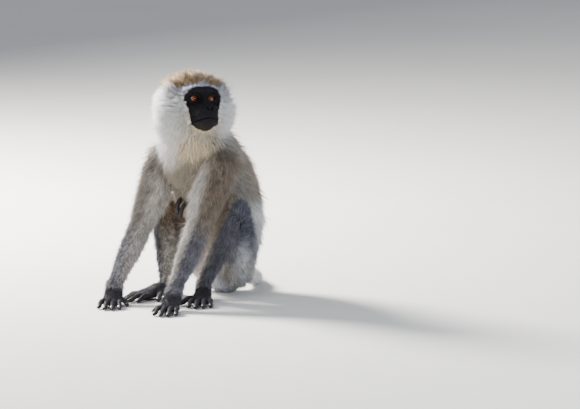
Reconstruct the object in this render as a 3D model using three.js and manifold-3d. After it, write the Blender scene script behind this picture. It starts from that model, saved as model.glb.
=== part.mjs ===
// A life-size vervet monkey, an adult female, sitting upright with both hands on the ground and the
// head turned to her left. Millimetres, +Z up. She faces -Y, her left side is +X, and the origin is
// the middle of the flat under her rump. Every outline is drawn out to the tips of the coat.
import * as THREE from "three";
import { mergeVertices } from "three/addons/utils/BufferGeometryUtils.js";
import Module from "manifold-3d";

const wasm = await Module();
wasm.setup();

const point = (x, y, z) => new THREE.Vector3(x, y, z);

// Driving dimensions
const GAP = 0.4; // between neighbouring pieces
const EYE_RADIUS = 8.6;
const EYE_SPACING = 26;
const HEAD_TURN = THREE.MathUtils.degToRad(62); // from straight ahead to her left
const HEAD_LIFT = THREE.MathUtils.degToRad(12);
const HEAD_TILT = THREE.MathUtils.degToRad(3); // towards her left shoulder
const HEAD_CENTRE = point(2, -78, 280);

// The joints of each side. Arms and legs are posed apart, so each side has its own.
const SIDES = [
  {
    name: "left",
    sign: 1,
    shoulder: point(42, -72, 193),
    elbow: point(45, -118, 107),
    wrist: point(55, -183, 26),
    fingersTurn: 30,
    hip: point(24, -12, 38),
    knee: point(68, -60, 127),
    ankle: point(33, -93, 25),
    footTurn: 36,
  },
  {
    name: "right",
    sign: -1,
    shoulder: point(-53, -76, 190),
    elbow: point(-68, -114, 101),
    wrist: point(-50, -191, 26),
    fingersTurn: 34,
    hip: point(-24, -12, 38),
    knee: point(-84, -42, 122),
    ankle: point(-34, -95, 25),
    footTurn: -3,
  },
];

const COLOURS = {
  grey_coat: 0x8f8a80,
  pale_coat: 0xd6d2cc,
  dark_skin: 0x1d1a1a,
  dark_coat: 0x4a4745,
  tail_coat: 0x9a958c,
  eye: 0x9a4a14,
};

// --- forms: each is a function of grow, which swells it by that much all round ---

function solidOf(geometry) {
  geometry.deleteAttribute("normal");
  geometry.deleteAttribute("uv");
  const merged = mergeVertices(geometry, 1e-3);
  return new wasm.Manifold(
    new wasm.Mesh({
      numProp: 3,
      vertProperties: merged.attributes.position.array,
      triVerts: new Uint32Array(merged.index.array),
    }),
  );
}

// A ball wrapped along a smooth path: a ring of half-width w along `side` and half-depth d across it
// at every station [place, w, d], and a dome of `dome` times the ring's depth at each end.
function limb(stations, { around = 12, along = 8, side = point(1, 0, 0), dome = 0.85 } = {}) {
  const domeRows = 2;
  const rows = along + 2 * domeRows;
  return (grow) => {
    const path = new THREE.CatmullRomCurve3(stations.map(([place]) => place));
    const girth = new THREE.CatmullRomCurve3(stations.map(([, w, d = w]) => point(w, d, 0)));
    const ball = new THREE.SphereGeometry(1, around, rows);
    const places = ball.attributes.position;
    for (let i = 0; i < places.count; i++) {
      const y = THREE.MathUtils.clamp(places.getY(i), -1, 1);
      const row = (Math.acos(y) / Math.PI) * rows;
      const ring = Math.hypot(places.getX(i), places.getZ(i));
      const cosA = ring > 1e-9 ? places.getX(i) / ring : 0;
      const sinA = ring > 1e-9 ? places.getZ(i) / ring : 0;
      const t = THREE.MathUtils.clamp((row - domeRows) / along, 0, 1);
      const beyond = Math.max(domeRows - row, row - domeRows - along, 0) / domeRows;
      const rise = Math.sin((beyond * Math.PI) / 2) * (row < domeRows ? -1 : 1);
      const flare = beyond > 1 - 1e-6 ? 0 : Math.cos((beyond * Math.PI) / 2);
      const size = girth.getPoint(t);
      const tangent = path.getTangent(t);
      const across = side.clone().addScaledVector(tangent, -side.dot(tangent)).normalize();
      const depth = tangent.clone().cross(across);
      const place = path
        .getPoint(t)
        .addScaledVector(tangent, rise * (dome * size.y + grow))
        .addScaledVector(across, flare * cosA * (size.x + grow))
        .addScaledVector(depth, flare * sinA * (size.y + grow));
      places.setXYZ(i, place.x, place.y, place.z);
    }
    return solidOf(ball);
  };
}

// An ellipsoid with half-sizes [a, b, c] along the columns of `frame`, in the middle `centre`.
function egg(centre, [a, b, c], frame = new THREE.Matrix4(), detail = 18) {
  return (grow) => {
    const ball = new THREE.SphereGeometry(1, detail, Math.round(detail * 0.62));
    ball.scale(a + grow, b + grow, c + grow);
    ball.applyMatrix4(frame);
    ball.translate(centre.x, centre.y, centre.z);
    return solidOf(ball);
  };
}

const joined = (...forms) => (grow) => forms.map((f) => f(grow)).reduce((a, b) => a.add(b));

const less = (form, ...cutters) => cutters.reduce((solid, cutter) => solid.subtract(cutter(GAP)), form(0));

const onFloor = (solid) => solid.trimByPlane([0, 0, 1], 0);

// Keeps the largest body, because a cut can leave a sliver behind.
function largest(solid) {
  return solid.decompose().reduce((best, body) => (body.volume() > best.volume() ? body : best));
}

const between = (a, b, t) => a.clone().lerp(b, t);

// --- trunk and neck ---

const trunk = limb(
  [
    [point(0, -7, 24), 31, 30],
    [point(-2, -3, 60), 47, 45],
    [point(-3, 1, 102), 56, 52],
    [point(-3, -22, 148), 62, 62],
    [point(-1, -49, 188), 61, 60],
    [point(0, -64, 216), 55, 53],
  ],
  { around: 16, along: 8, dome: 1 },
);
const neck = limb(
  [
    [point(-5, -65, 203), 62, 51],
    [point(-4, -75, 230), 58, 49],
    [point(2, -78, 254), 50, 46],
  ],
  { around: 12, along: 2, dome: 0.3 },
);
const waist = { normal: point(0, -0.45, 0.89).normalize(), offset: 102 }; // parts chest and abdomen

// --- head: f forward along the face, s to her left, u up ---

const up = point(0, 0, 1);
const faceForward = point(0, -1, 0).applyAxisAngle(point(1, 0, 0), -HEAD_LIFT).applyAxisAngle(up, HEAD_TURN);
const leftwards = point(1, 0, 0).applyAxisAngle(up, HEAD_TURN).applyAxisAngle(faceForward, -HEAD_TILT);
const faceUp = faceForward.clone().cross(leftwards);
const headFrame = new THREE.Matrix4().makeBasis(leftwards, faceForward.clone().negate(), faceUp);

const onHead = (s, f, u) =>
  HEAD_CENTRE.clone()
    .addScaledVector(leftwards, s)
    .addScaledVector(faceForward, f)
    .addScaledVector(faceUp, u);

// Half-sizes are given as across, along the face and up.
const headEgg = (s, f, u, sizes, detail) => egg(onHead(s, f, u), sizes, headFrame, detail);

const EYE = { f: 29, u: 5 };
const eyeAt = (sign) => onHead((sign * EYE_SPACING) / 2, EYE.f, EYE.u);

const coatOfHead = joined(
  headEgg(-1, 0, 1, [57, 48, 45], 15),
  ...[-1, 1].map((sign) => headEgg(sign * 22, 4, -17, [35, 36, 39], 11)),
);
const faceSide = { side: leftwards };
const brow = limb(
  [
    [onHead(-25, 31.5, 9.5), 5, 5],
    [onHead(-13, 39.5, 15), 5.5, 5],
    [onHead(0, 41, 15), 6, 5],
    [onHead(13, 39.5, 15), 5.5, 5],
    [onHead(25, 31.5, 9.5), 5, 5],
  ],
  { around: 6, along: 6, side: faceUp },
);
const muzzle = limb(
  [
    [onHead(0, 24, -9), 26, 23],
    [onHead(0, 40, -14), 22, 18.5],
    [onHead(0, 54, -19.5), 18, 15],
  ],
  { around: 12, along: 3, ...faceSide, dome: 0.85 },
);
const nose = limb(
  [
    [onHead(0, 39, 8), 6, 6],
    [onHead(0, 50, -2), 5.5, 5.5],
    [onHead(0, 61, -11), 7, 5],
  ],
  { around: 7, along: 3, ...faceSide },
);
const jaw = limb(
  [
    [onHead(0, 24, -25.5), 20.5, 15],
    [onHead(0, 40, -30.5), 16.5, 12],
    [onHead(0, 53, -32.5), 13, 10],
  ],
  { around: 9, along: 3, ...faceSide, dome: 0.8 },
);
const orbits = headEgg(0, 23, 2, [31, 23, 23], 12);
const maskOpening = headEgg(0, 52, 0, [28, 30, 22], 10); // the coat stops round the mask as a fringe
const faceMask = joined(orbits, brow, muzzle, nose);
const eyeBall = (sign) => egg(eyeAt(sign), [EYE_RADIUS, EYE_RADIUS, EYE_RADIUS], headFrame, 10);
// The opening between the lids, an almond in front of the eyeball.
const lidOpening = (sign) => headEgg((sign * EYE_SPACING) / 2, EYE.f + 12, EYE.u, [7.6, 11, 5], 8);
const nostril = (sign) =>
  limb([[onHead(sign * 2.6, 60, -11.5), 1.5, 1.1], [onHead(sign * 4, 68, -14.5), 1.6, 1.2]], {
    around: 5,
    along: 1,
  });

const ears = Object.fromEntries(
  SIDES.map(({ name, sign }) => [
    name,
    {
      shell: limb(
        [
          [onHead(sign * 40, -6, -14), 3.5, 2],
          [onHead(sign * 43, -8, -8), 8, 2.4],
          [onHead(sign * 45, -11, 1), 10.5, 2.4],
          [onHead(sign * 46, -13, 10), 7.5, 2],
        ],
        { around: 6, along: 4, side: faceForward, dome: 1.4 },
      ),
      // the parting of the coat in which the ear lies open
      parting: limb([[onHead(sign * 47, -9, 0), 15, 19], [onHead(sign * 72, -14, 0), 21, 26]], {
        around: 7,
        along: 1,
        side: faceForward,
        dome: 0.5,
      }),
    },
  ]),
);

// --- hands and feet: each lies on the floor, turned about its wrist or ankle ---

const turned = (degrees) => {
  const a = THREE.MathUtils.degToRad(degrees);
  const ahead = point(Math.sin(a), -Math.cos(a), 0);
  return { ahead, aside: point(Math.cos(a), Math.sin(a), 0) };
};

// A finger or toe from `root`, bent at its middle joint and ending on its pad.
function digit(root, ahead, length, thickness, arch) {
  const radius = thickness / 2;
  const tip = root.clone().addScaledVector(ahead, length).setZ(radius * 0.66);
  const middle = between(root, tip, 0.5).setZ(between(root, tip, 0.5).z + arch);
  const level = ahead.clone().cross(up);
  return limb([[root, radius * 1.1], [middle, radius], [tip, radius * 0.86]], {
    around: 5,
    along: 2,
    side: level,
  });
}

const FAN = [-1.5, -0.5, 0.5, 1.5]; // the four long digits, counted from the thumb's side outward

function handForm({ sign, wrist, fingersTurn }) {
  const { ahead, aside } = turned(fingersTurn);
  const on = (out, fore, z) =>
    point(wrist.x, wrist.y, z).addScaledVector(aside, out * sign).addScaledVector(ahead, fore);
  const palm = limb([[on(0, -3, 24), 12, 11.5], [on(0, 12, 14), 13.5, 10], [on(0, 33, 6.2), 14, 7.4]], {
    around: 8,
    along: 3,
    side: aside,
  });
  const fingerLength = [33, 38, 37, 30];
  const fingers = FAN.map((k, i) => {
    const root = on(k * 7.4, 35 - Math.abs(k) * 2, 7);
    const way = turned(fingersTurn + sign * k * 4).ahead;
    return digit(root, way, fingerLength[i], 7.6, 4.5);
  });
  const thumb = digit(on(-12, 14, 7), turned(fingersTurn - sign * 28).ahead, 20, 7.2, 1.5);
  return joined(palm, ...fingers, thumb);
}

function footForm({ sign, ankle, footTurn }) {
  const { ahead, aside } = turned(footTurn);
  const on = (out, fore, z) =>
    point(ankle.x, ankle.y, z).addScaledVector(aside, out * sign).addScaledVector(ahead, fore);
  const sole = limb(
    [
      [on(0, -20, 10.5), 10.5, 11],
      [on(0, 4, 12.5), 11.5, 12.5],
      [on(1, 28, 9.5), 13.5, 10],
      [on(1, 48, 7.4), 15, 7.8],
    ],
    { around: 8, along: 4, side: aside },
  );
  const toeLength = [30, 34, 32, 27];
  const toes = FAN.map((k, i) => {
    const root = on(k * 7.4 + 1, 50 - Math.abs(k + 0.4) * 3, 8);
    const way = turned(footTurn + sign * k * 5).ahead;
    return digit(root, way, toeLength[i], 8, 4);
  });
  const bigToe = digit(on(-11, 24, 8), turned(footTurn - sign * 36).ahead, 30, 9, 2);
  return joined(sole, ...toes, bigToe);
}

// --- the tail lies on the floor in a long hook behind her ---

const TAIL_PATH = new THREE.CatmullRomCurve3(
  [
    [2, 14, 27],
    [4, 46, 17],
    [-14, 74, 12],
    [-59, 108, 11],
    [-113, 152, 11],
    [-164, 195, 11],
    [-221, 216, 11],
    [-260, 194, 10.5],
    [-249, 144, 10.5],
    [-203, 94, 10],
    [-160, 54, 9],
  ].map(([x, y, z]) => point(x, y, z)),
);
const TAIL_LENGTHS = 7;
const tailRadius = (t) => 14.5 - 2.6 * t - 2 * t ** 6;

function tailForm(index) {
  const stationsEach = 5;
  const stations = Array.from({ length: stationsEach }, (_, k) => {
    const t = (index + k / (stationsEach - 1)) / TAIL_LENGTHS;
    return [TAIL_PATH.getPointAt(t), tailRadius(t)];
  });
  return limb(stations, { around: 6, along: 3, side: up, dome: index === TAIL_LENGTHS - 1 ? 1.6 : 0.6 });
}

// --- the scene graph: one group for each region, one mesh for each part ---

const monkey = new THREE.Group();

function region(centre) {
  const group = new THREE.Group();
  group.position.copy(centre);
  monkey.add(group);
  return group;
}

function add(group, name, colour, solid) {
  const { numProp, vertProperties, triVerts } = largest(solid).getMesh();
  const places = new Float32Array((vertProperties.length / numProp) * 3);
  for (let i = 0; i < places.length / 3; i++) {
    places.set(vertProperties.subarray(i * numProp, i * numProp + 3), i * 3);
  }
  const geometry = new THREE.BufferGeometry()
    .setAttribute("position", new THREE.BufferAttribute(places, 3))
    .setIndex(new THREE.BufferAttribute(triVerts, 1))
    .translate(-group.position.x, -group.position.y, -group.position.z);
  geometry.computeVertexNormals();
  const finish = new THREE.MeshStandardMaterial({
    color: COLOURS[colour],
    roughness: colour === "eye" ? 0.1 : 0.85,
    metalness: 0,
  });
  const mesh = new THREE.Mesh(geometry, finish);
  mesh.name = name;
  group.add(mesh);
}

const head = region(HEAD_CENTRE);
const body = region(point(0, -27, 148));

const eyes = SIDES.map(({ sign }) => eyeBall(sign));
const wholeFace = joined(faceMask, jaw);

add(
  head,
  "head",
  "pale_coat",
  less(coatOfHead, wholeFace, maskOpening, ...SIDES.flatMap(({ name }) => Object.values(ears[name]))),
);
const openings = SIDES.flatMap(({ sign }) => [lidOpening(sign), nostril(sign)]);
add(head, "face", "dark_skin", less(faceMask, jaw, ...eyes, ...openings));
add(head, "lower_jaw", "dark_skin", jaw(0));
SIDES.forEach(({ name, sign }, i) => {
  add(head, `eye_${name}`, "eye", eyes[i](0));
  add(head, `ear_${name}`, "dark_skin", less(ears[name].shell, wholeFace));
});

add(body, "neck", "pale_coat", less(neck, coatOfHead, wholeFace));
const { normal, offset } = waist;
const upperTrunk = trunk(0).trimByPlane(normal.toArray(), offset + GAP / 2);
const lowerTrunk = trunk(0).trimByPlane(normal.clone().negate().toArray(), GAP / 2 - offset);
const aboveChest = [neck, coatOfHead, wholeFace];
add(body, "chest", "grey_coat", aboveChest.reduce((solid, form) => solid.subtract(form(GAP)), upperTrunk));
add(body, "abdomen", "grey_coat", onFloor(lowerTrunk));

// The teats are drawn out, and hang side by side a little to her right of the middle.
for (const { name, sign } of SIDES) {
  const x = sign * 5.5 - 14;
  const teat = limb(
    [[point(x, -79, 139), 4.2], [point(x + 1, -89, 130), 4], [point(x + 2 - sign * 2, -91, 118), 2.6]],
    { around: 6, along: 3 },
  );
  add(body, `nipple_${name}`, "dark_skin", less(teat, trunk));
}

for (const side of SIDES) {
  const { name, shoulder, elbow, wrist, hip, knee, ankle, sign } = side;
  const arm = region(shoulder);
  const leg = region(hip);

  const upperArm = limb(
    [
      [between(shoulder, elbow, -0.08), 29, 32],
      [between(shoulder, elbow, 0.2), 29, 31],
      [between(shoulder, elbow, 0.6), 24, 25],
      [elbow, 18.5, 20],
    ],
    { around: 10, along: 4 },
  );
  const forearm = limb(
    [
      [elbow, 18, 19],
      [between(elbow, wrist, 0.35), 18, 18.5],
      [between(elbow, wrist, 0.75), 14, 14],
      [wrist, 12, 12],
    ],
    { around: 10, along: 4 },
  );
  const thigh = limb(
    [[hip, 28, 28], [between(hip, knee, 0.45), 30, 31], [knee, 19, 20]],
    { around: 12, along: 4, side: point(0, 1, 0) },
  );
  const shin = limb(
    [
      [knee, 18.5, 19],
      [between(knee, ankle, 0.35), 19, 20],
      [between(knee, ankle, 0.75), 15, 15],
      [ankle, 12, 12],
    ],
    { around: 10, along: 4 },
  );
  const hand = handForm(side);
  const foot = footForm(side);

  add(arm, `upper_arm_${name}`, "grey_coat", less(upperArm, trunk, neck, coatOfHead));
  add(arm, `forearm_${name}`, "grey_coat", less(forearm, upperArm, trunk, thigh, hand));
  add(arm, `hand_${name}`, "dark_coat", onFloor(hand(0)));
  add(leg, `thigh_${name}`, "grey_coat", onFloor(less(thigh, trunk, upperArm)));
  add(leg, `shin_${name}`, "grey_coat", less(shin, thigh, trunk, upperArm, forearm, foot));
  add(leg, `foot_${name}`, "dark_coat", onFloor(foot(0)));
}

const tail = region(point(0, 14, 20));
const lengths = Array.from({ length: TAIL_LENGTHS }, (_, i) => tailForm(i));
lengths.forEach((form, i) => {
  const nearer = i === 0 ? trunk : lengths[i - 1];
  const colour = i === TAIL_LENGTHS - 1 ? "dark_coat" : "tail_coat";
  add(tail, `tail_${i + 1}`, colour, onFloor(less(form, nearer)));
});

export default monkey;
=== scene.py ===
import math
from concurrent.futures import ThreadPoolExecutor

import bpy
import numpy as np
import openvdb
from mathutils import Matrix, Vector


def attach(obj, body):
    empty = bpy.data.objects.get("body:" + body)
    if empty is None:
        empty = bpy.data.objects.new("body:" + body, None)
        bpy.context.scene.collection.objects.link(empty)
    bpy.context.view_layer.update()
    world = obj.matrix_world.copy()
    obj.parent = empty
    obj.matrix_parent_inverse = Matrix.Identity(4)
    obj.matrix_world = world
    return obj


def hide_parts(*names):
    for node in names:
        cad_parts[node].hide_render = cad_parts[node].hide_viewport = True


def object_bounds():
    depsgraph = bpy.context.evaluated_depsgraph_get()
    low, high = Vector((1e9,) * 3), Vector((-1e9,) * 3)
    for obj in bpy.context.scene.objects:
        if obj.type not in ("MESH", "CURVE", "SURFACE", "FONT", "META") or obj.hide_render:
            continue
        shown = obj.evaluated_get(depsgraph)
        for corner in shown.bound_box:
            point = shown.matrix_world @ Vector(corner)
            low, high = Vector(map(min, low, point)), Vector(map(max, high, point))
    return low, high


# A life-size model of an adult female vervet monkey, sitting upright with both hands on the ground
# and the head turned to her left. She faces -Y and her left side is +X. One closed skin carries the
# eyes, ears, nails and teats, and the coat stands on it in tufts. Sizes are in millimetres until a
# mesh is made.
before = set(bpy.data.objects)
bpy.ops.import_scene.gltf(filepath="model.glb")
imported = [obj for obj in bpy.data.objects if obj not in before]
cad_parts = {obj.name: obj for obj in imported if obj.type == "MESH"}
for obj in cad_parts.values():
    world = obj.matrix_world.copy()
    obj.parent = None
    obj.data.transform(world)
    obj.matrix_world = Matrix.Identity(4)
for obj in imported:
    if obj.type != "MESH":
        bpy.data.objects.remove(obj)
cad_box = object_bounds()

# --- camera ---------------------------------------------------------------------------------------
# The camera stands to the left of her chest, a little above her, and far enough away that near and
# far limbs keep the same scale.
VIEW_TURN, VIEW_RISE = 40, 8  # degrees round to her left, and up
VIEW_DISTANCE = 9.0  # metres
VIEW_WIDTH = 0.841  # metres across the picture, at the monkey
VIEW_MIDDLE = (0.0899, 0.1254)  # metres sideways and up from her own middle on the floor
SENSOR = 36.0


def out_from_her(turn, rise):
    """The way out at a turn from straight ahead and a rise, in degrees: (sin turn cos rise,
    -cos turn cos rise, sin rise)."""
    a, e = math.radians(turn), math.radians(rise)
    return Vector((math.sin(a) * math.cos(e), -math.cos(a) * math.cos(e), math.sin(e)))


def stand(thing, middle, way, distance):
    """Stands a camera or a lamp off from a middle, looking back at it."""
    thing.location = middle + way * distance
    thing.rotation_mode = "QUATERNION"
    thing.rotation_quaternion = (-way).to_track_quat("-Z", "Y")
    bpy.context.scene.collection.objects.link(thing)


sideways, backwards = out_from_her(VIEW_TURN + 90, 0), out_from_her(VIEW_TURN, VIEW_RISE)
camera = bpy.data.objects.new("camera", bpy.data.cameras.new("camera"))
camera.data.sensor_width = SENSOR
camera.data.lens = SENSOR * VIEW_DISTANCE / VIEW_WIDTH
camera.data.clip_end = 100
middle_of_view = sideways * VIEW_MIDDLE[0] + backwards.cross(sideways) * VIEW_MIDDLE[1]
stand(camera, middle_of_view, backwards, VIEW_DISTANCE)
bpy.context.scene.camera = camera

# --- trunk and neck: flesh ------------------------------------------------------------------------
# The flesh is a set of rounded lengths. Each follows a smooth path and has its own half-width and
# half-depth at every station, out to the tips of the coat, and the depth of the coat to take off.
FAR = 60.0  # stands for "well away" in a measured distance


def unit(vectors):
    """Each vector divided by its length."""
    return vectors / np.maximum(np.linalg.norm(vectors, axis=-1, keepdims=True), 1e-9)


def through(stations, steps):
    """Smooth curve through the stations. Between b and c, with a before them and d after, it is
    half of 2b + (c - a) f + (2a - 5b + 4c - d) f^2 + (3b - a - 3c + d) f^3 at the share f."""
    p = np.asarray(stations, float)
    p = np.vstack([2 * p[0] - p[1], p, 2 * p[-1] - p[-2]])
    t = np.linspace(0, len(p) - 3, steps + 1)
    i = np.minimum(t.astype(int), len(p) - 4)
    f = (t - i)[:, None]
    a, b, c, d = p[i], p[i + 1], p[i + 2], p[i + 3]
    curve = 2 * b + (c - a) * f + (2 * a - 5 * b + 4 * c - d) * f**2 + (3 * b - a - 3 * c + d) * f**3
    return 0.5 * curve


def soft_min(a, b, k):
    """The smaller of two distances, rounded over a band k wide: min(a, b) - k h^2 / 4, where h is
    1 - |a - b| / k, or 0 outside the band."""
    h = np.maximum(k - np.abs(a - b), 0) / k
    return np.minimum(a, b) - k * h * h / 4


def soft_max(a, b, k):
    """The larger of two distances, rounded in the same way."""
    return -soft_min(-a, -b, k)


class Length:
    """A rounded length of flesh. A station is (x, y, z, half-width along `side`, half-depth across
    it, coat), and the flesh lies inside the half-sizes by the coat."""

    def __init__(self, stations, side=(1, 0, 0), steps=12):
        rows = through(stations, steps)
        self.at = rows[:, :3]
        self.coat = rows[:, 5]
        self.half = np.maximum(rows[:, 3:5] - self.coat[:, None], 0.3)
        self.way = unit(np.gradient(self.at, axis=0))
        side = np.asarray(side, float)
        self.across = unit(side - self.way * (self.way @ side)[:, None])
        self.depth = np.cross(self.way, self.across)

    def measure(self, points, margin=FAR):
        """Signed distance to the flesh and the place along the path, counted in steps. With q the
        offset from the path and r the half-sizes there, the distance is k0 (k0 - 1) / k1, where
        k0 = |q / r| and k1 = |q / r^2|. Points further off than the margin get FAR."""
        distance = np.full(len(points), FAR)
        place = np.zeros(len(points))
        reach = self.half.max() + margin
        inside = (points > self.at.min(0) - reach) & (points < self.at.max(0) + reach)
        near = np.flatnonzero(inside.all(1))
        if not len(near):
            return distance, place
        best = np.full(len(near), reach)
        where = np.full(len(near), -1.0)
        for j in range(len(self.at) - 1):
            step = self.at[j + 1] - self.at[j]
            q = points[near] - self.at[j]
            t = np.clip(q @ step / (step @ step), 0, 1)
            q -= t[:, None] * step
            mean_half = self.half[j].mean() * (1 - t) + self.half[j + 1].mean() * t
            gap = np.sqrt(np.einsum("ij,ij->i", q, q)) - mean_half
            better = gap < best
            best[better] = gap[better]
            where[better] = j + t[better]
        found = (where >= 0) & (best < margin)
        near, where = near[found], where[found]
        q = points[near] - self.at_place(self.at, where)
        axes = [self.at_place(a, where) for a in (self.across, self.depth, self.way)]
        q = np.stack([np.einsum("ij,ij->i", q, axis) for axis in axes], 1)
        half = self.at_place(self.half, where)
        radii = np.column_stack([half, half.min(1)])
        k0 = np.linalg.norm(q / radii, axis=1)
        k1 = np.linalg.norm(q / radii**2, axis=1)
        distance[near] = k0 * (k0 - 1) / np.maximum(k1, 1e-6)
        place[near] = where
        return distance, place

    def at_place(self, values, place):
        """The stations' values, such as the coat or the way along, at places along the path."""
        i = np.minimum(place.astype(int), len(values) - 2)
        f = (place - i).reshape((-1,) + (1,) * (values.ndim - 1))
        return values[i] * (1 - f) + values[i + 1] * f

    def along(self, place):
        """A place along the path as a share of its steps, from 0 to 1."""
        return place / (len(self.at) - 1)


trunk = Length(
    [
        (0, -7, 24, 31, 30, 5),
        (-2, -3, 60, 47, 45, 9),
        (-3, 1, 102, 56, 52, 10),
        (-3, -22, 148, 62, 62, 11.5),
        (-1, -49, 188, 61, 60, 13),
        (0, -64, 216, 55, 53, 14),
    ],
    steps=12,
)
neck = Length([(-5, -65, 203, 62, 51, 16), (-4, -75, 230, 56, 48, 17), (2, -78, 254, 48, 45, 16)], steps=4)

# --- arms and legs: flesh -------------------------------------------------------------------------
# An arm is one length from the shoulder to the wrist. A leg is two, because the knee is a sharp
# bend. Each side has its own pose.
SIDES = {
    "left": dict(
        sign=1,
        shoulder=(42, -72, 193),
        elbow=(45, -118, 107),
        wrist=(55, -183, 26),
        fingers_turn=30,
        inner_arm=(-0.6, -0.8, 0),
        inner_edge=(0.2, 0.65),
        hip=(24, -12, 38),
        knee=(68, -60, 127),
        ankle=(33, -93, 25),
        foot_turn=36,
    ),
    "right": dict(
        sign=-1,
        shoulder=(-53, -76, 190),
        elbow=(-68, -114, 101),
        wrist=(-50, -191, 26),
        fingers_turn=34,
        inner_arm=(0.7, 0.7, 0),
        inner_edge=(-0.5, 0.35),
        hip=(-24, -12, 38),
        knee=(-84, -42, 122),
        ankle=(-34, -95, 25),
        foot_turn=-3,
    ),
}


def between(a, b, t):
    """The place a (1 - t) + b t."""
    return np.asarray(a, float) * (1 - t) + np.asarray(b, float) * t


def bone(a, b, rows):
    """Stations on the line from joint a to joint b, from rows (share of the way, half-width,
    half-depth, coat)."""
    return [(*between(a, b, t), *sizes) for t, *sizes in rows]


UPPER_ARM = [(-0.08, 29, 32, 13), (0.2, 29, 31, 12.5), (0.6, 24, 25, 10.5)]
FOREARM_ROWS = [(0, 18.5, 20, 8.5), (0.35, 18, 18.5, 7.5), (0.75, 14, 14, 5.5), (1, 11.5, 12, 4)]
THIGH = [(0, 28, 28, 9), (0.45, 30, 31, 9.5), (1, 19, 20, 7)]
SHIN = [(0, 18.5, 19, 7), (0.35, 19, 20, 7), (0.75, 15, 15, 5.5), (1, 12, 12, 4)]

arms, thighs, shins = {}, {}, {}
for name, s in SIDES.items():
    upper_arm = bone(s["shoulder"], s["elbow"], UPPER_ARM)
    arms[name] = Length(upper_arm + bone(s["elbow"], s["wrist"], FOREARM_ROWS), steps=12)
    thighs[name] = Length(bone(s["hip"], s["knee"], THIGH), side=(0, 1, 0), steps=8)
    shins[name] = Length(bone(s["knee"], s["ankle"], SHIN), steps=9)

# --- hands and feet: flesh ------------------------------------------------------------------------
# A hand is a palm, four long fingers and a short thumb, and a foot a long sole with a big toe that
# stands apart. Every digit is bent at its knuckles and rests on its pad.
FAN = (-1.5, -0.5, 0.5, 1.5)  # the four long digits, counted from the thumb's side outward
HAIR_ON_HANDS = 0.9


def heading(degrees):
    """Unit steps ahead and aside for something that lies on the floor, turned from straight ahead."""
    a = math.radians(degrees)
    return np.array([math.sin(a), -math.cos(a), 0]), np.array([math.cos(a), math.sin(a), 0])


def digit(root, turn, length, thickness, arch):
    """A finger or toe: it rises to its middle knuckle, then runs down to its pad. Its stations are at
    shares of the way, with a share of the thickness and of the arch at each."""
    ahead, aside = heading(turn)
    r = thickness / 2
    tip = root + ahead * length
    tip[2] = r * 0.72
    knuckles = [(0, 1.08, 0), (0.24, 0.95, 0.75), (0.46, 1.05, 1)]
    knuckles += [(0.66, 0.9, 0.7), (0.82, 0.96, 0.3), (1, 0.8, 0)]
    stations = [
        (*(between(root, tip, t) + (0, 0, arch * lift)), r * size, r * size, HAIR_ON_HANDS * 0.5)
        for t, size, lift in knuckles
    ]
    return Length(stations, side=aside, steps=8)


def paw(joint, turn, sign, rows, steps, knuckle, lengths, thickness, arch, fan, thumb):
    """A palm or sole and its five digits. Places are (outward, forward, up) from below the joint.
    `knuckle` gives a long digit's root from its number in the fan, whose digits are `fan` degrees
    apart, and the thumb is (root, degrees apart, length, thickness, arch)."""
    ahead, aside = heading(turn)
    out = aside * sign

    def at(outward, forward, z):
        return np.array([*joint[:2], z]) + out * outward + ahead * forward

    base = Length([(*at(*place), *sizes) for place, *sizes in rows], side=aside, steps=steps)
    digits = [
        digit(at(*knuckle(k)), turn + sign * k * fan, length, thickness, arch)
        for k, length in zip(FAN, lengths)
    ]
    root, apart, *sizes = thumb
    digits.append(digit(at(*root), turn - sign * apart, *sizes))
    return base, digits


PALM = [((0, -3, 24), 12, 11.5, 3.2), ((0, 12, 14), 13.5, 9.6, 1.4), ((0, 33, 6.4), 14, 7.2, 0.9)]
SOLE = [
    ((0, -20, 10.5), 10.5, 10.5, 1.6),
    ((0, 4, 12.5), 11.5, 12.5, 2),
    ((1, 28, 9.5), 13.5, 9.6, 1.2),
    ((1, 48, 7.4), 15, 7.4, 0.9),
]
FINGERS = dict(lengths=(33, 38, 37, 30), thickness=7.6, arch=4, fan=5, thumb=((-12, 14, 7), 30, 21, 7.4, 1.5))
TOES = dict(lengths=(30, 34, 32, 27), thickness=8, arch=3.6, fan=6, thumb=((-11, 24, 8), 36, 30, 9, 2))


def finger_root(k):
    """Knuckles (outward, forward, up) in a shallow arch across the palm."""
    return k * 7.4, 34 - abs(k) * 2, 6.6


def toe_root(k):
    """The same across the sole."""
    return k * 7.6 + 1, 49 - abs(k + 0.4) * 3, 7


hands, feet = {}, {}
for name, s in SIDES.items():
    hands[name] = paw(s["wrist"], s["fingers_turn"], s["sign"], PALM, 6, finger_root, **FINGERS)
    feet[name] = paw(s["ankle"], s["foot_turn"], s["sign"], SOLE, 8, toe_root, **TOES)

# --- tail: flesh ----------------------------------------------------------------------------------
# The tail is longer than the body. It leaves the rump, drops to the floor and lies there in a long
# hook behind her.
TAIL_PATH = [
    (2, 14, 27),
    (4, 46, 17),
    (-14, 74, 12),
    (-59, 108, 11),
    (-113, 152, 11),
    (-164, 195, 11),
    (-221, 216, 11),
    (-260, 194, 10.5),
    (-249, 144, 10.5),
    (-203, 94, 10),
    (-160, 54, 9),
]
shares = np.linspace(0, 1, len(TAIL_PATH))
tail_radii = 14.5 - 2.6 * shares - 2 * shares**6
tail = Length(
    [(*at, r, r, 5.2 - share) for at, r, share in zip(TAIL_PATH, tail_radii, shares)],
    side=(0, 0, 1),
    steps=48,
)

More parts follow.
